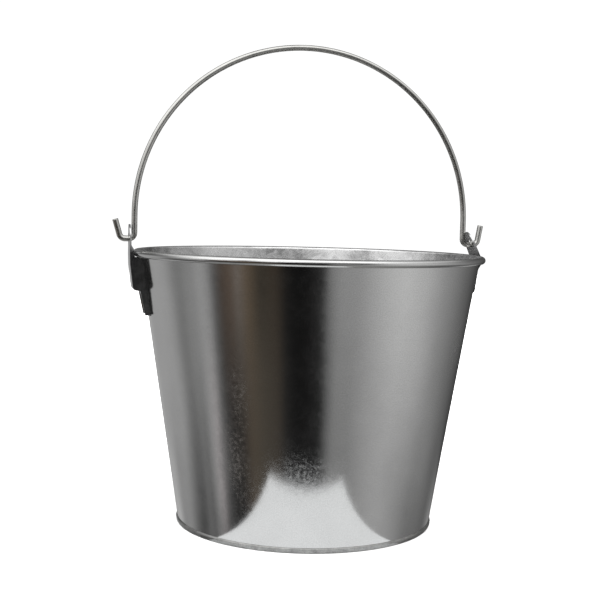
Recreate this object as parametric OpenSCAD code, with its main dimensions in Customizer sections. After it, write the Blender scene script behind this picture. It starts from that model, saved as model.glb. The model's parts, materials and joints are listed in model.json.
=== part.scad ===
// Florist bucket: a tapered sheet-metal pail with a wired rim, a seamed base,
// two riveted channel ears and a wire bail that swings in them.
// Frame: origin at the centre of the ring that the pail stands on, +Z up,
// +X along the bail's hinge line towards the right ear.

/* [Pail] */
// Diameter over the rolled rim
rim_d = 228; // [210:1:245]
// Outside diameter of the wall at the floor
base_d = 165; // [150:1:175]
// Height from the floor to the top of the rim
pail_h = 176.2; // [165:0.1:190]
// Thickness of the pail's sheet
sheet_t = 0.5; // [0.4:0.05:0.6]
// Diameter of the wire inside the rolled rim
rim_wire_d = 3.44; // [3:0.02:4]
// How far the rim's sheet wraps round its wire
curl_turn = 309; // [270:1:312]

/* [Base and seam] */
// Height of the base's underside above the floor
base_recess = 4.5; // [3.6:0.1:7]
// Height of the double seam round the foot
seam_h = 3.2; // [2.8:0.1:3.4]
// How far the double seam stands out from the wall
seam_out = 1; // [0.9:0.05:1.4]
// Width of the lock seam up the back of the wall
lock_seam_w = 6; // [4:0.5:8]
// How far the lock seam stands out from the wall
lock_seam_t = 0.5; // [0.3:0.05:0.7]

/* [Bail] */
// Diameter of the bail's wire
bail_wire_d = 3.75; // [3.2:0.05:4]
// Radius of the bail's arch, to the wire's centre
bail_arch_r = 109.4; // [108.9:0.1:109.6]
// Height of the arch's centre above the hinge line
arch_rise = 15.1; // [12:0.1:25]
// Height of the hinge line above the top of the rim
hinge_above_rim = 6.8; // [6.4:0.1:7.2]
// End play taken up towards the left ear
bail_shift = 4.1; // [4:0.05:4.2]
// Bend radius of the hooks, to the wire's centre
hook_r = 3.6; // [3.4:0.1:3.8]
// Straight length between the left hook's bends
grip_left = 2.3; // [2:0.1:4]
// Straight length between the right hook's bends
grip_right = 3.5; // [3.3:0.1:5]
// Outward lean of the left hook's free arm
flare_left = 16; // [5:1:20]
// Outward lean of the right hook's free arm
flare_right = 10; // [5:1:20]
// Length of each hook's free arm
hook_arm = 9.6; // [6:0.1:12]

/* [Ears] */
// Thickness of the ears' sheet
ear_t = 1; // [0.9:0.05:1.1]
// Gap between the rolled rim and the ear's plate
rim_gap = 2.1; // [1.9:0.1:2.4]
// Radius of the ear's round top
ear_top_r = 8.5; // [7.5:0.1:9]
// Radius of the hole that holds the bail
ear_hole_r = 3; // [2.8:0.05:3.3]
// Inward lean of the left ear's top
lean_left = 0; // [0:1:2]
// Inward lean of the right ear's top, which has been bent
lean_right = 24; // [18:1:25]
// How far the right ear's body has been pressed in below the rim
tuck_right = 2.8; // [0:0.1:3]
// Gap between the rolled rim and the left ear's webs, which are cut round it
collar_gap = 0.6; // [0.5:0.1:0.9]

/* [Rivets] */
// Diameter of the rivets' shanks
rivet_d = 2.4; // [2:0.1:2.6]
// Diameter of the rivets' heads
rivet_head_d = 4.4; // [4:0.1:4.6]
// Distance between the two rivets of one ear
rivet_pitch = 8.6; // [8:0.1:9.4]
// Height of the rivets above the floor
rivet_z = 138; // [137.6:0.1:138.3]

/* [Hidden] */
$fn = 96;

// The rolled rim, and the wall's slope so that its outside just touches the rim's wire space
curl_in = rim_wire_d / 2 + 0.03;
bead_r = curl_in + sheet_t;
bead_c = [rim_d / 2 - bead_r, pail_h - bead_r];
foot = [base_d / 2, 0];
foot_to_bead = norm(bead_c - foot);
slope = atan2(bead_c.x - foot.x, bead_c.y) - asin(curl_in / foot_to_bead);
level_t = sheet_t / cos(slope);
curl_start = 180 - slope;
curl_end = curl_start - curl_turn;
curl_steps = 30;

// The foot: the wall ends in a small flange that the base's edge is folded over
flange_out = 0.6;
flange_top = 2 * sheet_t;
seam_gap = 0.15;

// The hinge, and where the bail's legs come down to it
hinge_z = pail_h + hinge_above_rim;
bail_r = bail_wire_d / 2;
leg_left = bail_arch_r + bail_shift;
leg_right = bail_arch_r - bail_shift;
wire_chamfer = 0.4;

// Each hook's free arm: drawn down a hair thinner than its bend, and running into it
arm_r = bail_r - 0.02;
arm_lap = 0.2;

// The ear's profile as radius and height: bends and corners from the top down
ear_a = rim_d / 2 + rim_gap + ear_t / 2;
bend_z = bead_c.y - 1;
bend_r = 6;
flank = 6;
flank_in = 0.2;
shelf_z = 151.3;
shelf_in = 2.2;
shelf_w = 4.4;
shelf_drop = 0.4;
tab_top_z = 142;
tab_end_z = 134.6;
hole_raise = 0.6;
plate_over = 1;
plate_margin = 1;
plate_sweep = asin((ear_top_r + plate_margin) / ear_a);
web_sweep = ear_t / ear_a * 180 / PI;
web_top_z = bead_c.y - bead_r - 0.7;

// The tab's raised sides: their height off the wall at the top and near the end
side_top = [150.4, 4.1];
side_low = [134.9, 3.1];
side_end_z = 135.3;

// Where the webs beside the rim start to narrow, and where they run out
collar_z = 176.5;
collar_end_z = 180;
collar_start = -75;
collar_steps = 8;

rivet_slack = 0.04;
rivet_turn = asin(rivet_pitch / 2 / wall_r(rivet_z));

// Outside radius of the wall at a height
function wall_r(z) = foot.x + z * tan(slope);

function unit(a) = [cos(a), sin(a)];
function left_of(a) = [-sin(a), cos(a)];
function heading(p, q) = atan2(q.y - p.y, q.x - p.x);
function wrapped(a) = a - 360 * round(a / 360);
function reversed(list) = [for (i = [len(list) - 1:-1:0]) list[i]];

// Points along an arc from one angle to another
function arc(centre, r, from, to, steps) =
    [for (i = [0:steps]) centre + r * unit(from + (to - from) * i / steps)];

// One rounded corner of a bent sheet, offset to one side of its middle line
function corner(p, v, q, r, off) =
    let (d = heading(p, v), turn = wrapped(heading(v, q) - d), s = sign(turn))
    let (centre = v - r * tan(abs(turn) / 2) * unit(d) + s * r * left_of(d))
    let (steps = max(1, ceil(abs(turn) / 12)))
    [for (i = [0:steps]) centre + (off - s * r) * left_of(d + turn * i / steps)];

// One side of a bent sheet whose middle line runs through the path's points
function sheet_side(path, radii, off) =
    let (last = len(path) - 1)
    concat(
        [path[0] + off * left_of(heading(path[0], path[1]))],
        [for (i = [1:last - 1]) each corner(path[i - 1], path[i], path[i + 1], radii[i - 1], off)],
        [path[last] + off * left_of(heading(path[last - 1], path[last]))]
    );

function sheet_outline(path, radii, t) =
    concat(sheet_side(path, radii, t / 2), reversed(sheet_side(path, radii, -t / 2)));

// Where the ear's plate starts to lean, and how far up it the hole and the top are
function lean_foot(lean) = [ear_a, bend_z - bend_r * tan(lean / 2)];
function hole_up(lean) = (hinge_z - lean_foot(lean).y) / cos(lean) + hole_raise;
function up_plate(lean, s) = lean_foot(lean) + s * [-sin(lean), cos(lean)];

// A point against the outside of the wall, half the ear's thickness away
function on_wall(z) = [wall_r(z) + ear_t / 2 / cos(slope), z];

function ear_path(lean, tuck) = [
    up_plate(lean, hole_up(lean) + ear_top_r + plate_over),
    lean_foot(lean),
    [ear_a - flank_in - tuck, bend_z - flank],
    [ear_a - shelf_in - tuck, shelf_z],
    [ear_a - shelf_in - tuck - shelf_w, shelf_z - shelf_drop],
    on_wall(tab_top_z),
    on_wall(tab_end_z)
];
ear_radii = [bend_r, 5, 2.2, 1, 4];

// The pail's sheet before it is pierced: cone, rolled rim, foot flange and the lock seam at the back
module wall_sheet() {
    seam_sweep = lock_seam_w / rim_d * 2 * 180 / PI;
    low = seam_h + seam_gap;
    high = bead_c.y - bead_r - seam_gap;
    rotate_extrude() {
        polygon(concat(
            [[wall_r(sheet_t), sheet_t]],
            arc(bead_c, curl_in, curl_start, curl_end, curl_steps),
            arc(bead_c, bead_r, curl_end, curl_start, curl_steps),
            [[wall_r(sheet_t) - level_t, sheet_t]]
        ));
        polygon([
            [wall_r(sheet_t) - level_t / 2, sheet_t],
            [foot.x + flange_out, sheet_t],
            [foot.x + flange_out, flange_top],
            [wall_r(flange_top) - level_t / 2, flange_top]
        ]);
    }
    rotate([0, 0, 90 - seam_sweep / 2])
        rotate_extrude(angle = seam_sweep)
            polygon([
                [wall_r(low) - level_t / 2, low],
                [wall_r(low) + lock_seam_t, low],
                [wall_r(high) + lock_seam_t, high],
                [wall_r(high) - level_t / 2, high]
            ]);
}

// The pail's wall, pierced for the rivets
module pail_wall() {
    color("lightsteelblue")
        difference() {
            wall_sheet();
            for (turn = [0, 180], side = [-1, 1])
                rotate([0, 0, turn])
                    rivet_place(side)
                        rivet_hole();
        }
}

// The base: a recessed disc whose edge goes down inside the wall and is folded up over its flange
module base_pan() {
    top = base_recess + sheet_t;
    color("slategray")
        rotate_extrude()
            polygon([
                [0, base_recess],
                [wall_r(base_recess) - 2 * level_t, base_recess],
                [wall_r(0) - 2 * level_t, 0],
                [wall_r(0) + seam_out, 0],
                [wall_r(seam_h) + seam_out, seam_h],
                [wall_r(seam_h), seam_h],
                [wall_r(flange_top), flange_top],
                [foot.x + flange_out, flange_top],
                [foot.x + flange_out, sheet_t],
                [wall_r(sheet_t) - level_t, sheet_t],
                [wall_r(top) - level_t, top],
                [0, top]
            ]);
}

// The wire that stiffens the rim
module rim_wire() {
    color("gray")
        rotate_extrude()
            translate(bead_c)
                circle(r = rim_wire_d / 2);
}

// A hook at the foot of one bail leg: in, through the ear, and up again
module hook(grip, flare) {
    rise = 90 - flare;
    far = [hook_r + grip, hook_r];
    tip = far + hook_r * unit(-flare);
    rotate([90, 0, 0]) {
        translate([hook_r, hook_r])
            rotate([0, 0, 180])
                rotate_extrude(angle = 90)
                    translate([hook_r, 0])
                        circle(r = bail_r);
        translate([hook_r, 0])
            rotate([0, 90, 0])
                cylinder(r = bail_r, h = grip);
        translate(far)
            rotate([0, 0, -90])
                rotate_extrude(angle = rise)
                    translate([hook_r, 0])
                        circle(r = bail_r);
        translate(tip)
            rotate([-90, 0, -flare]) {
                translate([0, 0, -arm_lap])
                    cylinder(r = arm_r, h = hook_arm + arm_lap);
                translate([0, 0, hook_arm])
                    cylinder(r1 = arm_r, r2 = arm_r - wire_chamfer, h = wire_chamfer);
            }
    }
}

// The bail: one wire, arched over the pail, with a straight leg and a hook at each end
module bail() {
    leg = arch_rise - hook_r;
    color("silver")
        translate([0, 0, hinge_z]) {
            translate([-bail_shift, 0, arch_rise])
                rotate([90, 0, 0])
                    rotate_extrude(angle = 180)
                        translate([bail_arch_r, 0])
                            circle(r = bail_r);
            for (x = [-leg_left, leg_right])
                translate([x, 0, hook_r])
                    cylinder(r = bail_r, h = leg);
            translate([leg_right, 0, 0])
                hook(grip_right, flare_right);
            translate([-leg_left, 0, 0])
                mirror([1, 0, 0])
                    hook(grip_left, flare_left);
        }
}

// The ear's side webs: they fill in between its body and the wall, stand up along the tab,
// and can run up beside the rim
module web_profile(lean, tuck, collared) {
    intersection() {
        polygon(concat(
            sheet_side(ear_path(lean, tuck), ear_radii, 0),
            [[wall_r(tab_end_z), tab_end_z], [wall_r(web_top_z), web_top_z]]
        ));
        translate([wall_r(0), side_end_z])
            square([rim_d / 2, web_top_z - side_end_z]);
    }
    polygon([
        [wall_r(side_end_z), side_end_z],
        [wall_r(side_low.x) + side_low.y, side_low.x],
        [wall_r(side_top.x) + side_top.y, side_top.x],
        [wall_r(side_top.x), side_top.x]
    ]);
    if (collared) {
        round_rim = arc(bead_c, bead_r + collar_gap, collar_start, 0, collar_steps);
        polygon(concat(round_rim, [
            [bead_c.x + bead_r + collar_gap, collar_z],
            [ear_a, collar_end_z],
            [ear_a, web_top_z - ear_t],
            [round_rim[0].x, web_top_z - ear_t]
        ]));
    }
}

// Turns a drawing so that its Y runs up the ear's leaning plate and its Z runs out of it
module on_plate(lean) {
    hole = up_plate(lean, hole_up(lean));
    translate([hole.x, 0, hole.y])
        rotate([0, -lean, 0])
            rotate([90, 0, 90])
                children();
}

// The ear's front outline: a round top over sides that spread slightly
module ear_outline() {
    spread = 6;
    reach = 70;
    low = ear_top_r * unit(spread) + reach * unit(spread - 90);
    polygon(concat(
        arc([0, 0], ear_top_r, spread, 180 - spread, 16),
        [[-low.x, low.y], low]
    ));
}

// One ear: a plate outside the rim with side webs, stepping in to a tab on the wall
module ear(lean, tuck, collared) {
    depth = 80;
    difference() {
        intersection() {
            union() {
                rotate([0, 0, -plate_sweep])
                    rotate_extrude(angle = 2 * plate_sweep)
                        polygon(sheet_outline(ear_path(lean, tuck), ear_radii, ear_t));
                for (turn = [-plate_sweep, plate_sweep - web_sweep])
                    rotate([0, 0, turn])
                        rotate_extrude(angle = web_sweep)
                            web_profile(lean, tuck, collared);
            }
            on_plate(lean)
                translate([0, 0, -depth / 2])
                    linear_extrude(height = depth)
                        ear_outline();
        }
        on_plate(lean)
            translate([0, 0, -2 * ear_t])
                cylinder(r = ear_hole_r, h = 4 * ear_t);
        for (side = [-1, 1])
            rivet_place(side)
                rivet_hole();
    }
}

// Moves children onto the wall's outside at one rivet, their Z pointing outwards
module rivet_place(side) {
    rotate([0, 0, side * rivet_turn])
        translate([wall_r(rivet_z), 0, rivet_z])
            rotate([0, 90 + slope, 0])
                children();
}

module rivet_hole() {
    translate([0, 0, -2 * ear_t])
        cylinder(d = rivet_d, h = 4 * ear_t);
}

// A rivet: shank through wall and tab, with a low head on each side
module rivet() {
    head_h = 0.5;
    rim_h = 0.25;
    inner = sheet_t + rivet_slack;
    color("gainsboro") {
        translate([0, 0, -inner])
            cylinder(d = rivet_d, h = inner + ear_t);
        translate([0, 0, ear_t])
            cylinder(d = rivet_head_d, h = rim_h);
        translate([0, 0, ear_t + rim_h])
            cylinder(d1 = rivet_head_d, d2 = rivet_head_d / 2, h = head_h);
        translate([0, 0, -inner - rim_h])
            cylinder(d = rivet_head_d, h = rim_h);
        translate([0, 0, -inner - rim_h - head_h])
            cylinder(d1 = rivet_head_d / 2, d2 = rivet_head_d, h = head_h);
    }
}

module rivet_left_1() {
    rotate([0, 0, 180])
        rivet_place(-1)
            rivet();
}

module rivet_left_2() {
    rotate([0, 0, 180])
        rivet_place(1)
            rivet();
}

module rivet_right_1() {
    rivet_place(-1)
        rivet();
}

module rivet_right_2() {
    rivet_place(1)
        rivet();
}

module ear_left() {
    color("darkgray")
        rotate([0, 0, 180])
            ear(lean_left, 0, true);
}

module ear_right() {
    color("darkgray")
        ear(lean_right, tuck_right, false);
}

pail_wall();
base_pan();
rim_wire();
bail();
ear_left();
ear_right();
rivet_left_1();
rivet_left_2();
rivet_right_1();
rivet_right_2();
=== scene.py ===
"""Looks of the florist bucket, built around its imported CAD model.

Metres, +Z up, +X towards the right ear, -Y towards the front.
"""

import json
import math

import bmesh
import bpy
from mathutils import Matrix, Vector


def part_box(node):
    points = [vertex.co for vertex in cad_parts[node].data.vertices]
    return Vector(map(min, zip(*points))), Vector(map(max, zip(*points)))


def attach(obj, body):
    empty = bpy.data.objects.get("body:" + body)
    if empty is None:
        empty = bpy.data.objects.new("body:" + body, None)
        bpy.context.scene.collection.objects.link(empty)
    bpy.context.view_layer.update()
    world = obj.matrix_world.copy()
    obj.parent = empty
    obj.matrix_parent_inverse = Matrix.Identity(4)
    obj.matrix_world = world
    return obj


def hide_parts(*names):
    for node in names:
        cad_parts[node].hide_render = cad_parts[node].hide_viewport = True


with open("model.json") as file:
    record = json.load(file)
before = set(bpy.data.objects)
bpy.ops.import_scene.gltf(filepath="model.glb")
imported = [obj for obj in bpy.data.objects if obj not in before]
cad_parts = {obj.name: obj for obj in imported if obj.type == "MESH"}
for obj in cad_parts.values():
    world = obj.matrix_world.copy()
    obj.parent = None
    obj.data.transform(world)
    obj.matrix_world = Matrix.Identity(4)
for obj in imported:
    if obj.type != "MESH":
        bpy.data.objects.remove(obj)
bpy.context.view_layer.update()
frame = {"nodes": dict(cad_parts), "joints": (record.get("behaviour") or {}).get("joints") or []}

MM = 0.001

# ---------------------------------------------------------------- sizes, from the frame where it gives them

WALL_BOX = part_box("pail_wall")
BASE_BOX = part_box("base_pan")
WIRE_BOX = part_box("rim_wire")
HINGE_Z = frame["joints"][0]["pos_m"][2]

SHEET = 0.5 * MM
RIM_R = WIRE_BOX[1].x + 0.03 * MM + SHEET
RIM_TOP = WALL_BOX[1].z
WIRE_R = (WIRE_BOX[1].z - WIRE_BOX[0].z) / 2
CURL_IN = WIRE_R + 0.03 * MM
BEAD_R = CURL_IN + SHEET
BEAD = Vector((RIM_R - BEAD_R, RIM_TOP - BEAD_R))
SEAM_H = 3.2 * MM
SEAM_OUT = 1.0 * MM
FOOT_R = 82.5 * MM
ARCH_R = 109.4 * MM
ARCH_SHIFT = 4.1 * MM
ARCH_CENTRE = Vector((-ARCH_SHIFT, HINGE_Z + 15.1 * MM))
FOLD_TOP = 171 * MM
SLOPE = math.atan2(BEAD.x - FOOT_R, BEAD.y) - math.asin(CURL_IN / (BEAD - Vector((FOOT_R, 0))).length)


def wall_r(z):
    """Outside radius of the wall at a height."""
    return FOOT_R + z * math.tan(SLOPE)


MEAN_R = wall_r(RIM_TOP / 2)


# ---------------------------------------------------------------- mesh helpers

def unit(degrees):
    """A direction in a 2-D plane."""
    a = math.radians(degrees)
    return Vector((math.cos(a), math.sin(a)))


def arc(centre, radius, start, end, steps):
    """Points on an arc in a 2-D plane, from one angle in degrees to another."""
    return [Vector(centre) + radius * unit(start + (end - start) * i / steps) for i in range(steps + 1)]


def line(start, end, steps):
    """Evenly spaced points from start to end in a 2-D plane."""
    return [Vector(start).lerp(Vector(end), i / steps) for i in range(steps + 1)]


def new_object(name, bm, smooth_angle=40):
    """An object of a bmesh, smooth apart from edges sharper than an angle in degrees."""
    mesh = bpy.data.meshes.new(name)
    bmesh.ops.recalc_face_normals(bm, faces=bm.faces)
    bm.to_mesh(mesh)
    bm.free()
    obj = bpy.data.objects.new(name, mesh)
    bpy.context.scene.collection.objects.link(obj)
    mesh.shade_smooth()
    mesh.set_sharp_from_angle(angle=math.radians(smooth_angle))
    return obj


def lathe(name, profile, angles, shift=None, closed=True, smooth_angle=40):
    """Turns a profile of (radius, height) points about Z. shift(angle, index) moves a point outwards."""
    bm = bmesh.new()
    rings = []
    for i, point in enumerate(profile):
        if point.x < 1e-7:
            rings.append([bm.verts.new((0, 0, point.y))])
            continue
        ring = []
        for a in angles:
            r = point.x + (shift(a, i) if shift else 0)
            ring.append(bm.verts.new((r * math.cos(a), r * math.sin(a), point.y)))
        rings.append(ring)
    pairs = list(zip(rings, rings[1:] + rings[:1])) if closed else list(zip(rings, rings[1:]))
    count = len(angles)
    for low, high in pairs:
        for k in range(count):
            n = k + 1
            corners = [low[k % len(low)], low[n % len(low)], high[n % len(high)], high[k % len(high)]]
            corners = list(dict.fromkeys(corners))
            if len(corners) > 2:
                bm.faces.new(corners)
    return new_object(name, bm, smooth_angle)


def sweep(name, path, radii, around):
    """A round bar along a flat path in the XZ plane, closed at both ends."""
    bm = bmesh.new()
    rings = []
    for i, point in enumerate(path):
        before, after = path[max(i - 1, 0)], path[min(i + 1, len(path) - 1)]
        along = (after - before).normalized()
        side = Vector((-along.y, along.x))
        ring = []
        for k in range(around):
            a = 2 * math.pi * k / around
            flat = point + side * radii[i] * math.cos(a)
            ring.append(bm.verts.new((flat.x, radii[i] * math.sin(a), flat.y)))
        rings.append(ring)
    for low, high in zip(rings, rings[1:]):
        for k in range(around):
            n = (k + 1) % around
            bm.faces.new((low[k], low[n], high[n], high[k]))
    bm.faces.new(rings[0])
    bm.faces.new(reversed(rings[-1]))
    return new_object(name, bm)


# ---------------------------------------------------------------- shader helpers

class Shader:
    """Short calls for building one node tree."""

    def __init__(self, tree):
        self.tree = tree

    def add(self, kind, **settings):
        node = self.tree.nodes.new(kind)
        for name, value in settings.items():
            setattr(node, name, value)
        return node

    def plug(self, socket, value):
        if isinstance(value, bpy.types.NodeSocket):
            self.tree.links.new(value, socket)
        else:
            socket.default_value = value

    def math(self, operation, a, b=0.0):
        node = self.add("ShaderNodeMath", operation=operation)
        self.plug(node.inputs[0], a)
        self.plug(node.inputs[1], b)
        return node.outputs[0]

    def scale(self, vector, factors):
        node = self.add("ShaderNodeVectorMath", operation="MULTIPLY")
        self.plug(node.inputs[0], vector)
        self.plug(node.inputs[1], factors)
        return node.outputs[0]

    def noise(self, vector, scale, detail, roughness):
        node = self.add("ShaderNodeTexNoise")
        self.plug(node.inputs["Vector"], vector)
        self.plug(node.inputs["Scale"], scale)
        self.plug(node.inputs["Detail"], detail)
        self.plug(node.inputs["Roughness"], roughness)
        return node.outputs["Fac"]

    def cells(self, vector, scale):
        """Random colours of a pattern of cells, and the distance to each cell's own point."""
        node = self.add("ShaderNodeTexVoronoi")
        self.plug(node.inputs["Vector"], vector)
        self.plug(node.inputs["Scale"], scale)
        return node.outputs["Color"], node.outputs["Distance"]

    def spread(self, value, low, high, to_low, to_high):
        """Maps the range from low to high onto the one from to_low to to_high, and clamps the result."""
        node = self.add("ShaderNodeMapRange")
        names = ("Value", "From Min", "From Max", "To Min", "To Max")
        for name, setting in zip(names, (value, low, high, to_low, to_high)):
            self.plug(node.inputs[name], setting)
        return node.outputs[0]

    def ramp(self, value, stops):
        """Colours between stops; a stop is a place from 0 to 1 and a grey tone or a colour."""
        node = self.add("ShaderNodeValToRGB")
        points = node.color_ramp.elements
        while len(points) < len(stops):
            points.new(1.0)
        for point, (place, colour) in zip(points, stops):
            point.position = place
            red, green, blue = colour if isinstance(colour, tuple) else (colour,) * 3
            point.color = (red, green, blue, 1)
        self.plug(node.inputs[0], value)
        return node.outputs[0]

    def bump(self, height, distance, normal=None):
        node = self.add("ShaderNodeBump")
        self.plug(node.inputs["Strength"], 1.0)
        self.plug(node.inputs["Height"], height)
        self.plug(node.inputs["Distance"], distance)
        if normal is not None:
            self.plug(node.inputs["Normal"], normal)
        return node.outputs[0]

    def unrolled(self):
        """The wall's surface laid flat: distance round it from the front, then height."""
        parts = self.add("ShaderNodeSeparateXYZ")
        self.plug(parts.inputs[0], self.add("ShaderNodeTexCoord").outputs["Object"])
        turn = self.math("ARCTAN2", parts.outputs[0], self.math("MULTIPLY", parts.outputs[1], -1.0))
        joined = self.add("ShaderNodeCombineXYZ")
        self.plug(joined.inputs[0], self.math("MULTIPLY", turn, MEAN_R))
        self.plug(joined.inputs[1], parts.outputs[2])
        return joined.outputs[0]

    def along_bail(self):
        """Coordinates that run slowly along the bail's arch and fast across its wire."""
        parts = self.add("ShaderNodeSeparateXYZ")
        self.plug(parts.inputs[0], self.add("ShaderNodeTexCoord").outputs["Object"])
        x = self.math("ADD", parts.outputs[0], -ARCH_CENTRE.x)
        z = self.math("ADD", parts.outputs[2], -ARCH_CENTRE.y)
        out = self.math("SQRT", self.math("ADD", self.math("MULTIPLY", x, x), self.math("MULTIPLY", z, z)))
        joined = self.add("ShaderNodeCombineXYZ")
        self.plug(joined.inputs[0], out)
        self.plug(joined.inputs[1], parts.outputs[1])
        self.plug(joined.inputs[2], self.math("MULTIPLY", self.math("ARCTAN2", z, x), 0.08 * ARCH_R))
        return joined.outputs[0]

    def patch(self, flat, centre, size):
        """1 in the middle of a patch of the unrolled wall, falling softly to 0 at its edge."""
        away = self.add("ShaderNodeVectorMath", operation="SUBTRACT")
        self.plug(away.inputs[0], flat)
        self.plug(away.inputs[1], (centre[0], centre[1], 0.0))
        distance = self.add("ShaderNodeVectorMath", operation="LENGTH")
        self.plug(distance.inputs[0], self.scale(away.outputs[0], (1 / size[0], 1 / size[1], 0.0)))
        return self.spread(distance.outputs["Value"], 0.0, 1.0, 1.0, 0.0)

    def tinted(self, tone, lightness):
        """A tone times a lightness that varies over the surface."""
        node = self.add("ShaderNodeVectorMath", operation="SCALE")
        self.plug(node.inputs[0], tone)
        self.plug(node.inputs["Scale"], lightness)
        return node.outputs[0]


# ---------------------------------------------------------------- materials

GRAIN_SIZE = 0.75 * MM
NICK_SPACING = 0.9 * MM
WEAR_SIZE = 2.4 * MM
SMUDGES_PER_METRE = 34.0
CLOUD_DEPTH = 1.2 * MM
DARKENING_TOP = 3.6 * MM


def metal(name):
    """An empty metal material, its shader helper and its surface node."""
    material = bpy.data.materials.new(name)
    material.use_nodes = True
    shader = Shader(material.node_tree)
    surface = material.node_tree.nodes["Principled BSDF"]
    surface.inputs["Metallic"].default_value = 1.0
    return material, shader, surface


def worn_places(s, flat, scuffs):
    """How far the scuffs have dulled the sheet, from 0 to 1, and the same broken up into small nicks."""
    worn = 0.0
    for centre, size in scuffs:
        worn = s.math("MAXIMUM", worn, s.patch(flat, centre, size))
    wear = s.noise(flat, 1 / WEAR_SIZE, 4.0, 0.7)
    _, from_nick = s.cells(flat, 1 / NICK_SPACING)
    scuffed = s.math("MULTIPLY", worn, s.spread(wear, 0.42, 0.66, 0.1, 1.0))
    return scuffed, s.math("MULTIPLY", scuffed, s.spread(from_nick, 0.10, 0.50, 1.0, 0.0))


def darkening_near_floor(s, solid, grain):
    """Grainy darkening of the sheet, strongest at the floor and half as strong at the top of the seam."""
    parts = s.add("ShaderNodeSeparateXYZ")
    s.plug(parts.inputs[0], solid)
    depth = s.spread(parts.outputs[2], 0.0, DARKENING_TOP, 1.1, 0.5)
    return s.math("MULTIPLY", depth, s.spread(grain, 0.3, 0.7, 0.3, 1.55))


def leaning_normal(s, crystals, tilt):
    """The surface's normal, leaning a little differently on each crystal."""
    lean = s.add("ShaderNodeVectorMath", operation="MULTIPLY_ADD")
    s.plug(lean.inputs[0], crystals)
    s.plug(lean.inputs[1], (tilt, tilt, tilt))
    s.plug(lean.inputs[2], (-tilt / 2, -tilt / 2, -tilt / 2))
    tilted = s.add("ShaderNodeVectorMath", operation="ADD")
    s.plug(tilted.inputs[0], s.add("ShaderNodeNewGeometry").outputs["Normal"])
    s.plug(tilted.inputs[1], lean.outputs[0])
    return tilted.outputs[0]


def coated_sheet(name, tone, rough, spangle, tilt, blotch=0.0, scuffs=(), floor_darkening=0.0, pitted=0.008 * MM,
                 rolled_up=True):
    """Zinc- or tin-coated sheet: crystals that tilt the reflections, a fine grain, smudges and scuffs.

    spangle is the size of a crystal and tilt how far it leans. blotch is the strength of the clouds in the
    coating, and pitted the depth of its grain. A scuff is the centre and size of a patch of the unrolled
    wall, and floor_darkening makes the sheet darker, most at the floor. Sheet that isn't rolled up into the
    wall takes its pattern from its place in space.
    """
    material, s, surface = metal(name)
    solid = s.add("ShaderNodeTexCoord").outputs["Object"]
    flat = s.unrolled() if rolled_up else solid
    crystals, _ = s.cells(flat, 1 / spangle)
    smudge = s.noise(flat, SMUDGES_PER_METRE, 4.0, 0.6)
    cloud = s.noise(flat, 1 / (1.6 * spangle), 5.0, 0.75)
    grain = s.noise(flat, 1 / GRAIN_SIZE, 2.0, 0.8)

    lightness = s.math("ADD", s.spread(smudge, 0.3, 0.7, 0.95, 1.03), s.spread(grain, 0.3, 0.7, -0.09, 0.09))
    lightness = s.math("ADD", lightness, s.spread(cloud, 0.35, 0.65, -blotch, blotch))
    if floor_darkening:
        # The sheet is made darker towards the floor, broken up by the grain, most at the foot.
        darkening = darkening_near_floor(s, solid, grain)
        lightness = s.math("SUBTRACT", lightness, s.math("MULTIPLY", darkening, floor_darkening))
    s.plug(surface.inputs["Base Color"], s.tinted(tone, lightness))

    parts = s.add("ShaderNodeSeparateXYZ")
    s.plug(parts.inputs[0], crystals)
    roughness = s.math("ADD", s.spread(smudge, 0.3, 0.7, rough - 0.02, rough + 0.03),
                       s.spread(parts.outputs[0], 0.0, 1.0, -0.015, 0.02))
    if scuffs:
        scuffed, nicks = worn_places(s, flat, scuffs)
        roughness = s.math("ADD", roughness, s.math("MULTIPLY", scuffed, 0.20))
        roughness = s.math("ADD", roughness, s.math("MULTIPLY", nicks, 0.15))
    s.plug(surface.inputs["Roughness"], s.math("ADD", roughness, s.spread(cloud, 0.4, 0.7, 0.0, blotch)))

    clouded = s.bump(cloud, blotch * CLOUD_DEPTH, leaning_normal(s, crystals, tilt))
    s.plug(surface.inputs["Normal"], s.bump(grain, pitted, clouded))
    return material


def drawn_wire(name, tone, rough):
    """Drawn and coated wire: faint streaks along it and a little dirt."""
    material, s, surface = metal(name)
    streak = s.noise(s.along_bail(), 700.0, 2.0, 0.5)
    darkening = s.noise(s.add("ShaderNodeTexCoord").outputs["Object"], 90.0, 4.0, 0.65)
    lightness = s.math("MULTIPLY", s.spread(darkening, 0.3, 0.7, 0.88, 1.05),
                       s.spread(streak, 0.3, 0.7, 0.93, 1.04))
    s.plug(surface.inputs["Base Color"], s.tinted(tone, lightness))
    s.plug(surface.inputs["Roughness"], s.spread(darkening, 0.3, 0.7, rough - 0.04, rough + 0.06))
    s.plug(surface.inputs["Normal"], s.bump(streak, 0.003 * MM))
    return material


def dress(obj, *materials):
    """Adds materials to an object that has none."""
    for material in materials:
        obj.data.materials.append(material)


# ---------------------------------------------------------------- pieces

def pail_angles():
    """Angles round the pail in radians, closer together at the lock seam on +Y."""
    seam = 90.0
    near = [seam - 3 + 0.15 * i for i in range(41)]
    far = [seam + 3 + i for i in range(1, 354)]
    return [math.radians(a) for a in near + far]


def seam_bump(angle, radius):
    """Height of the folded lock seam on the outside, at an angle round the pail."""
    half, shoulder = 3.0 * MM, 0.5 * MM
    away = abs(math.remainder(angle - math.pi / 2, 2 * math.pi)) * radius
    t = min(max((half - away) / shoulder, 0), 1)
    return 0.5 * MM * t * t * (3 - 2 * t)


def ripple(angle, height):
    """The slight waviness of a rolled sheet wall, nothing at the rim and the foot."""
    along = height / BEAD.y
    fade = math.sin(math.pi * min(max(along, 0), 1)) ** 0.7
    wave = math.sin(3 * angle + 2.2 * along) + 0.6 * math.sin(7 * angle - 1.3 + 3.1 * along)
    return 0.05 * MM * wave * fade


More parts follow.
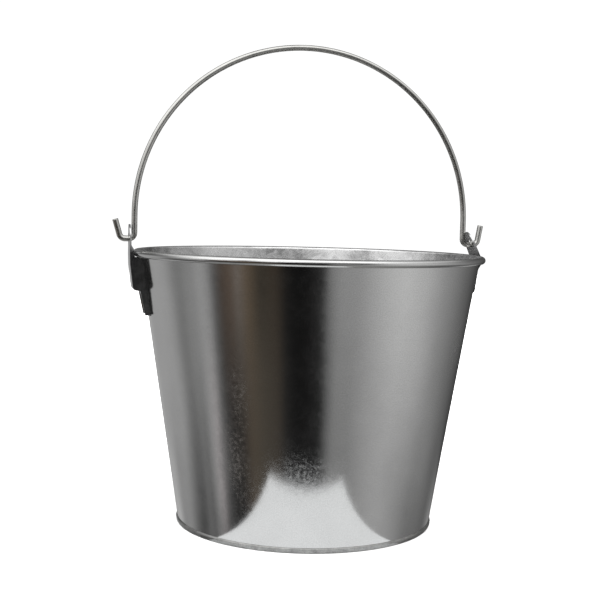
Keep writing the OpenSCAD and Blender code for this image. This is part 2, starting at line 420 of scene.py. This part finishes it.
def make_wall(outer, inner):
    """The tapered sheet wall and its rolled rim as one closed skin, dressed outside and inside."""
    foot_z = SHEET
    level = SHEET / math.cos(SLOPE)
    start, turn = 180 - math.degrees(SLOPE), 309
    outside = line((wall_r(foot_z), foot_z), BEAD + CURL_IN * unit(start), 44)[:-1]
    under = arc(BEAD, CURL_IN, start, start - turn, 44)
    lip_at = BEAD + (CURL_IN + SHEET / 2) * unit(start - turn)
    lip = arc(lip_at, SHEET / 2, start - turn - 180, start - turn - 360, 6)[1:-1]
    over = arc(BEAD, BEAD_R, start - turn, start, 60)
    inside = line(BEAD + BEAD_R * unit(start), (wall_r(foot_z) - level, foot_z), 44)[1:]
    profile = outside + under + lip + over + inside
    bump_from, bump_to = SEAM_H + 0.3 * MM, BEAD.y - BEAD_R - 0.4 * MM

    def shift(angle, i):
        point = profile[i]
        if i < len(outside):
            raised = seam_bump(angle, point.x) if bump_from < point.y < bump_to else 0
            return raised + ripple(angle, point.y)
        if i >= len(profile) - len(inside):
            return ripple(angle, point.y)
        return 0

    angles = pail_angles()
    wall = lathe("wall_skin", profile, angles, shift)
    dress(wall, outer, inner)
    curl_inside = 10  # the curl's last steps, which face into the pail
    first_inside = len(profile) - len(inside) - curl_inside
    for face in wall.data.polygons:
        face.material_index = int(first_inside <= face.index // len(angles) < len(profile) - 1)
    return wall


def make_base():
    """The recessed base and its double seam, which stands out round the foot."""
    level = SHEET / math.cos(SLOPE)
    recess = 4.5 * MM
    top = BASE_BOX[1].z
    well = wall_r(recess) - 2 * level
    foot_in = wall_r(0) - 2 * level
    bend = 0.9 * MM
    under = [Vector((0, recess)), *line((well * 0.5, recess), (well - bend, recess), 12)]
    corner = arc((well - bend, recess - bend), bend, 90, 0, 6)
    down = line((well + (foot_in - well) * 0.3, recess - 1.4 * MM), (foot_in, 0.45 * MM), 4)
    sole = arc((foot_in + 0.45 * MM, 0.45 * MM), 0.45 * MM, 180, 270, 5)[1:]
    roll = []
    for i in range(19):
        a = math.radians(-90 + 10 * i)
        z = SEAM_H / 2 * (1 + abs(math.sin(a)) ** 0.8 * math.copysign(1, a))
        roll.append(Vector((wall_r(z) + SEAM_OUT * abs(math.cos(a)) ** 0.7, z)))
    tuck = [Vector((wall_r(SEAM_H) - 0.05 * MM, SEAM_H - 0.25 * MM)), Vector((wall_r(1.2 * MM), 1.2 * MM))]
    shoulder = Vector((wall_r(top) - level - 0.02 * MM, top - 0.8 * MM))
    inner = [Vector((wall_r(SHEET) - level, SHEET)), shoulder]
    inner_bend = arc((wall_r(top) - level - 1.0 * MM, top - 0.8 * MM), 0.8 * MM, 30, 90, 5)
    floor = line((well - 3 * MM, top), (well * 0.5, top), 10) + [Vector((0, top))]
    profile = under + corner + down + sole + roll + tuck + inner + inner_bend + floor
    angles = [2 * math.pi * i / 256 for i in range(256)]
    roll_from = profile.index(roll[0])

    def shift(angle, i):
        """The rolled seam is pressed in a little, unevenly round the foot."""
        if roll_from < i < roll_from + len(roll) - 1:
            return -0.04 * MM * abs(math.sin(31 * angle) * math.sin(13 * angle + 0.7))
        return 0

    return lathe("base_skin", profile, angles, shift, closed=False)


def bail_path():
    """The bail's middle line in the XZ plane, from the left arm's end to the right arm's."""
    hook_r, arm = 3.6 * MM, 9.6 * MM
    left, right = ARCH_CENTRE.x - ARCH_R, ARCH_CENTRE.x + ARCH_R

    def hook(grip, flare):
        """From the leg outwards: bend, grip, bend and free arm, drawn for the right-hand side."""
        far = Vector((hook_r + grip, hook_r))
        bend_in = arc((hook_r, hook_r), hook_r, 180, 270, 12)
        bend_out = arc(far, hook_r, -90, -flare, 12)
        tip = bend_out[-1]
        end = tip + arm * Vector((math.sin(math.radians(flare)), math.cos(math.radians(flare))))
        return bend_in + bend_out + line(tip, end, 8)[1:]

    def placed(points, x, mirror):
        """A hook's points at one end of the hinge line."""
        return [Vector((x + (-p.x if mirror else p.x), HINGE_Z + p.y)) for p in points]

    left_hook = placed(hook(2.3 * MM, 16), left, True)[::-1]
    right_hook = placed(hook(3.5 * MM, 10), right, False)
    arch = arc(ARCH_CENTRE, ARCH_R, 180, 0, 180)
    left_leg = line(left_hook[-1], arch[0], 8)[1:-1]
    right_leg = line(arch[-1], right_hook[0], 8)[1:-1]
    return left_hook + left_leg + arch + right_leg + right_hook


def make_bail():
    """The bail as one swept wire. Its path is turned round once for each end that is rounded off."""
    wire_r, round_end = 1.875 * MM, 0.4 * MM
    path = bail_path()[::-1]
    radii = [wire_r] * len(path)
    for _ in range(2):
        outward = (path[-1] - path[-2]).normalized()
        last = path[-1]
        for i in range(1, 5):
            a = math.radians(90 * i / 4)
            path.append(last + outward * round_end * math.sin(a))
            radii.append(wire_r - round_end * (1 - math.cos(a)))
        path.reverse()
        radii.reverse()
    return sweep("bail_skin", path, radii, 32)


def is_fold(edge):
    """Whether an ear's edge is the fold between its plate or tab and a side web, below the rim."""
    middle = (edge.verts[0].co + edge.verts[1].co) / 2
    across = [abs(face.normal.y) for face in edge.link_faces]
    outward = [face.normal.x * math.copysign(1, middle.x) - face.normal.z for face in edge.link_faces]
    return middle.z < FOLD_TOP and max(across) > 0.9 and min(across) < 0.3 and max(outward) > 0.5


def make_ear(node):
    """The stamped ear, its cut edges rounded off and its folds bent round."""
    bm = bmesh.new()
    bm.from_mesh(frame["nodes"][node].data)
    bmesh.ops.remove_doubles(bm, verts=bm.verts, dist=1e-6)
    bmesh.ops.dissolve_limit(bm, angle_limit=math.radians(1.0), verts=bm.verts, edges=bm.edges)
    bm.normal_update()
    weight = bm.edges.layers.float.new("bevel_weight_edge")
    for edge in bm.edges:
        if len(edge.link_faces) == 2 and edge.calc_face_angle_signed() > math.radians(35):
            edge[weight] = 1.0 if is_fold(edge) else 0.25
    ear = new_object(node + "_skin", bm, 30)
    bevel = ear.modifiers.new("edges", "BEVEL")
    bevel.width = 1.1 * MM
    bevel.segments = 4
    bevel.limit_method = "WEIGHT"
    bevel.harden_normals = True
    return ear


def make_rivet(node, side, turn):
    """A low-headed rivet through the wall and an ear's tab. turn is the ear's angle round the pail."""
    height, pitch, ear_t = 138.0 * MM, 8.6 * MM, 1.0 * MM
    head_r, head_h, rim_h, shank_r = 2.2 * MM, 0.5 * MM, 0.2 * MM, 1.2 * MM
    inner = SHEET + 0.04 * MM
    quarter = arc((0, 0), 1, 0, 90, 9)
    top = [Vector((head_r, 0))] + [Vector((head_r * p.x, rim_h + head_h * p.y)) for p in quarter]
    outer = [Vector((p.x, ear_t + p.y)) for p in top]
    under = [Vector((p.x, -inner - p.y)) for p in reversed(top)]
    profile = under + [Vector((shank_r, -inner)), Vector((shank_r, ear_t))] + outer
    profile[0].x = profile[-1].x = 0
    angles = [2 * math.pi * i / 40 for i in range(40)]
    rivet = lathe(node + "_skin", profile, angles, closed=False, smooth_angle=50)
    around = Matrix.Rotation(turn + side * math.asin(pitch / 2 / wall_r(height)), 4, "Z")
    outwards = Matrix.Rotation(math.radians(90) + SLOPE, 4, "Y")
    rivet.data.transform(around @ Matrix.Translation((wall_r(height), 0, height)) @ outwards)
    return rivet


# ---------------------------------------------------------------- build and dress

# Centre and size of each scuff: distance round the wall from the front, then height.
SCUFFS = [
    ((-65 * MM, 54 * MM), (15 * MM, 42 * MM)),
    ((-21 * MM, 50 * MM), (22 * MM, 20 * MM)),
    ((-60 * MM, 92 * MM), (10 * MM, 34 * MM)),
    ((88 * MM, 120 * MM), (18 * MM, 26 * MM)),
]
SHEET_OUT = coated_sheet("coated_outside", (0.70, 0.70, 0.695), 0.14, 2.6 * MM, 0.004, scuffs=SCUFFS)
SHEET_IN = coated_sheet("coated_inside", (0.70, 0.70, 0.70), 0.17, 7.0 * MM, 0.08, blotch=0.20)
# The base's sheet is darker towards the floor, most at the foot.
SHEET_BASE = coated_sheet("coated_base", (0.56, 0.56, 0.55), 0.30, 3.5 * MM, 0.05, blotch=0.18, floor_darkening=0.46,
                          rolled_up=False)
EAR_METAL = coated_sheet("stamped_sheet", (0.64, 0.64, 0.64), 0.15, 2.2 * MM, 0.004, pitted=0.002 * MM,
                         rolled_up=False)
WIRE_METAL = drawn_wire("drawn_wire", (0.64, 0.635, 0.61), 0.26)
RIVET_METAL = drawn_wire("rivet_metal", (0.66, 0.66, 0.66), 0.26)

# Each piece, its body, the CAD node it replaces, its material slot, and its material if it has none yet.
PIECES = [
    (make_wall(SHEET_OUT, SHEET_IN), "pail", "pail_wall", "pail_sheet"),
    (make_base(), "pail", "base_pan", "base_sheet", SHEET_BASE),
    (make_bail(), "bail", "bail", "bail_wire", WIRE_METAL),
]
for node in ("ear_left", "ear_right"):
    PIECES.append((make_ear(node), "pail", node, "ear_sheet", EAR_METAL))
for ear, turn in (("left", math.pi), ("right", 0)):
    for number, side in ((1, -1), (2, 1)):
        node = f"rivet_{ear}_{number}"
        PIECES.append((make_rivet(node, side, turn), "pail", node, "rivet_steel", RIVET_METAL))

for piece, body, node, slot, *materials in PIECES:
    dress(piece, *materials)
    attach(piece, body)
    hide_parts(node)

rim_wire = frame["nodes"]["rim_wire"]
rim_wire.data.materials.clear()
dress(rim_wire, WIRE_METAL)


# ---------------------------------------------------------------- stage: floor, backdrop, light and camera

CAMERA_AZIMUTH = -12.7
PAIL_MIDDLE = Vector((0, 0, 0.1))


def stage_quad(name, corners, material):
    """A flat stage piece with four corners."""
    mesh = bpy.data.meshes.new(name)
    mesh.from_pydata(corners, [], [range(len(corners))])
    obj = bpy.data.objects.new(name, mesh)
    bpy.context.scene.collection.objects.link(obj)
    mesh.materials.append(material)
    return obj


def glow(name, colour, strength):
    """A material that shines evenly."""
    material = bpy.data.materials.new(name)
    material.use_nodes = True
    tree = material.node_tree
    tree.nodes.clear()
    emission = tree.nodes.new("ShaderNodeEmission")
    emission.inputs["Color"].default_value = (*colour, 1)
    emission.inputs["Strength"].default_value = strength
    output = tree.nodes.new("ShaderNodeOutputMaterial")
    tree.links.new(emission.outputs[0], output.inputs[0])
    return material


def make_floor():
    """A plain white floor, which the metal doesn't mirror."""
    paper = bpy.data.materials.new("floor_paper")
    paper.use_nodes = True
    surface = paper.node_tree.nodes["Principled BSDF"]
    surface.inputs["Base Color"].default_value = (0.9, 0.9, 0.9, 1)
    surface.inputs["Roughness"].default_value = 0.9
    surface.inputs["Specular IOR Level"].default_value = 0.0
    reach = 3.0
    corners = [(-reach, -reach, 0), (reach, -reach, 0), (reach, reach, 0), (-reach, reach, 0)]
    floor = stage_quad("floor", corners, paper)
    floor.visible_glossy = False


def make_backdrop():
    """A white dome that only the camera sees."""
    bm = bmesh.new()
    bmesh.ops.create_uvsphere(bm, u_segments=32, v_segments=16, radius=12)
    dome = new_object("backdrop", bm)
    dome.data.materials.append(glow("backdrop_white", (1, 1, 1), 1.05))
    dome.visible_glossy = dome.visible_diffuse = dome.visible_shadow = False


def make_table_glow():
    """The bright strip of table in front of the pail, as the polished wall mirrors it.

    Each of its corners is a distance from the pail's axis towards the camera, then one to the right.
    """
    azimuth = math.radians(CAMERA_AZIMUTH)
    towards = Vector((math.sin(azimuth), -math.cos(azimuth), 0))
    across = Vector((-towards.y, towards.x, 0))
    height = Vector((0, 0, 0.4 * MM))
    outline = ((0.040, -0.0565), (0.160, -0.061), (0.152, 0.066), (0.040, 0.058))
    corners = [height + towards * t + across * a for t, a in outline]
    card = stage_quad("table_glow", corners, glow("table_white", (0.975, 0.99, 1.0), 0.95))
    card.visible_camera = card.visible_diffuse = card.visible_shadow = False


# Tones of the studio round the pail, as pairs of azimuth and tone. Azimuth 0 is the front and 90 the right.
TABLE_FAR = [
    (-180, 0.45), (-160, 0.385), (-140, 0.41), (-130, 0.41), (-123, 0.35), (-116, 0.24), (-111, 0.22),
    (-106, 0.27), (-99, 0.30), (-92, 0.385), (-86, 0.33), (-80, 0.10), (-74, (0.08, 0.06, 0.048)),
    (-67, (0.125, 0.092, 0.07)), (-62, (0.20, 0.175, 0.155)), (-55, (0.135, 0.10, 0.068)),
    (-46, (0.034, 0.030, 0.024)), (-36, (0.048, 0.036, 0.026)), (-28, 0.007), (-16, 0.006),
    (-8, (0.018, 0.017, 0.017)), (-2.5, 0.035), (2, 0.29), (10, 0.37), (22, 0.385), (34, 0.50), (46, 0.60),
    (57, 0.645), (74, 0.55), (94, 0.335), (120, 0.17), (145, 0.055),
]
TABLE_NEAR = [
    (-180, 0.36), (-140, 0.25), (-129, 0.15), (-117, 0.085), (-111, 0.085), (-105, 0.18), (-100, 0.125),
    (-94, 0.33), (-88, (0.50, 0.465, 0.47)), (-82, 0.15), (-77, 0.05), (-71, 0.022), (-65, 0.024),
    (-61, (0.05, 0.042, 0.035)), (-56, (0.10, 0.08, 0.06)), (-50, (0.09, 0.075, 0.058)),
    (-44, (0.075, 0.065, 0.052)), (-34, (0.06, 0.05, 0.04)), (-28, 0.020), (-21, 0.009), (-14, 0.009),
    (-7, 0.016), (-1, 0.016), (4, 0.15), (9, 0.27), (22, 0.28), (34, 0.37), (46, 0.44), (56, 0.455),
    (70, 0.385), (94, 0.20), (120, 0.12),
]
BEHIND = [
    (-180, 0.40), (-163, 0.56), (-148, 0.30), (-125, 0.34), (0, 0.3), (120, 0.20), (138, 0.40), (152, 0.60),
    (166, 0.33), (180, 0.40),
]
WALLS = [
    (-180, 0.20), (-158, 0.14), (-143, 0.10), (-128, 0.20), (-115, 0.28), (-100, 0.70), (-86, 1.15),
    (-70, 1.20), (-62, 0.80), (-53, 0.35), (-46, 0.75), (-36, 1.30), (-26, 0.85), (-14, 0.50), (0, 0.36),
    (20, 0.34), (32, 0.52), (45, 0.66), (65, 0.62), (90, 0.38), (110, 0.20), (148, 0.07), (180, 0.20),
]
CEILING = [(-180, 0.16), (-135, 0.7), (-90, 1.6), (40, 1.6), (75, 0.9), (130, 0.4), (180, 0.16)]


def make_world():
    """A studio whose tones change with direction: its table below the horizon, its walls, and its ceiling."""
    world = bpy.data.worlds.new("studio")
    bpy.context.scene.world = world
    world.use_nodes = True
    s = Shader(world.node_tree)
    parts = s.add("ShaderNodeSeparateXYZ")
    s.plug(parts.inputs[0], s.add("ShaderNodeTexCoord").outputs["Generated"])
    turn = s.math("ARCTAN2", parts.outputs[0], s.math("MULTIPLY", parts.outputs[1], -1.0))
    place = s.spread(turn, -math.pi, math.pi, 0.0, 1.0)
    rise = s.spread(s.math("ARCSINE", parts.outputs[2]), -math.pi / 2, math.pi / 2, -90.0, 90.0)

    def tones(stops):
        return s.ramp(place, [((azimuth + 180) / 360, tone) for azimuth, tone in stops])

    def blend(factor, first, second):
        mix = s.add("ShaderNodeMix", data_type="RGBA")
        s.plug(mix.inputs["Factor"], factor)
        s.plug(mix.inputs[6], first)
        s.plug(mix.inputs[7], second)
        return mix.outputs[2]

    def below(elevation, none_at, share=1.0):
        """share up to an elevation, falling to nothing at a higher one."""
        return s.spread(rise, elevation, none_at, share, 0.0)

    def above(elevation, full_at):
        """Nothing up to an elevation, rising to 1 at a higher one."""
        return s.spread(rise, elevation, full_at, 0.0, 1.0)

    def within(azimuth, inner, outer, share=1.0):
        """share near an azimuth, to inner degrees each side, falling to nothing at outer degrees."""
        away = s.math("ABSOLUTE", s.math("ADD", turn, math.radians(-azimuth)))
        return s.spread(away, math.radians(inner), math.radians(outer), share, 0.0)

    # The table, from far to near, then darker and lighter again towards the pail's foot.
    low = blend(below(-25.5, -19.5), tones(TABLE_FAR), tones(TABLE_NEAR))
    left_foot = s.math("MULTIPLY", within(-90, 8, 16, 0.6), below(-30, -27.5))
    low = blend(left_foot, low, (0.02, 0.02, 0.02, 1))
    low = blend(below(-34, -28, 0.2), low, (0.0, 0.0, 0.0, 1))
    low = blend(below(-54, -42), low, (0.24, 0.24, 0.235, 1))
    low = blend(below(-72, -60), low, (0.34, 0.34, 0.33, 1))
    rear = s.spread(s.math("ABSOLUTE", turn), math.radians(126), math.radians(144), 0.0, 1.0)
    low = blend(s.math("MULTIPLY", rear, below(-21, -14)), low, tones(BEHIND))

    # The walls, the dark side that the camera stands on, and the ceiling.
    sky = blend(above(-4, 8), low, tones(WALLS))
    dark_side = s.math("MULTIPLY", within(-2, 26, 38), s.math("MULTIPLY", above(-12, -8), below(5, 9)))
    sky = blend(dark_side, sky, (0.014, 0.014, 0.014, 1))
    sky = blend(above(22, 36), sky, tones(CEILING))
    s.plug(world.node_tree.nodes["Background"].inputs["Color"], sky)


def make_softbox():
    """One large soft light overhead. The metal mirrors the world's ceiling in its place."""
    elevation, distance, size, radiance = math.radians(88), 3.0, 8.0, 2.2
    away = Vector((0, -math.cos(elevation), math.sin(elevation)))
    data = bpy.data.lights.new("overhead", "AREA")
    data.shape = "RECTANGLE"
    data.size = data.size_y = size
    data.energy = radiance * math.pi * size * size
    lamp = bpy.data.objects.new("overhead", data)
    bpy.context.scene.collection.objects.link(lamp)
    lamp.location = away * distance + PAIL_MIDDLE
    lamp.rotation_euler = (-away).to_track_quat("-Z", "Y").to_euler()
    lamp.visible_camera = False
    lamp.visible_glossy = False


def make_camera():
    """The photograph's view: just above the rim and a little to the left of the front."""
    data = bpy.data.cameras.new("camera")
    data.lens = 69.91
    data.sensor_width = 36.0
    data.clip_end = 100.0
    camera = bpy.data.objects.new("camera", data)
    bpy.context.scene.collection.objects.link(camera)
    turn, tilt_down, roll = math.radians(-12.32), math.radians(4.396), math.radians(1.35)
    place = Matrix.Translation((-0.16755, -0.74264, 0.20319)) @ Matrix.Rotation(turn, 4, "Z")
    camera.matrix_world = (place @ Matrix.Rotation(math.pi / 2 - tilt_down, 4, "X")
                           @ Matrix.Rotation(roll, 4, "Z"))
    bpy.context.scene.camera = camera


bpy.context.scene.view_settings.view_transform = "Standard"
make_floor()
make_backdrop()
make_table_glow()
make_world()
make_softbox()
make_camera()
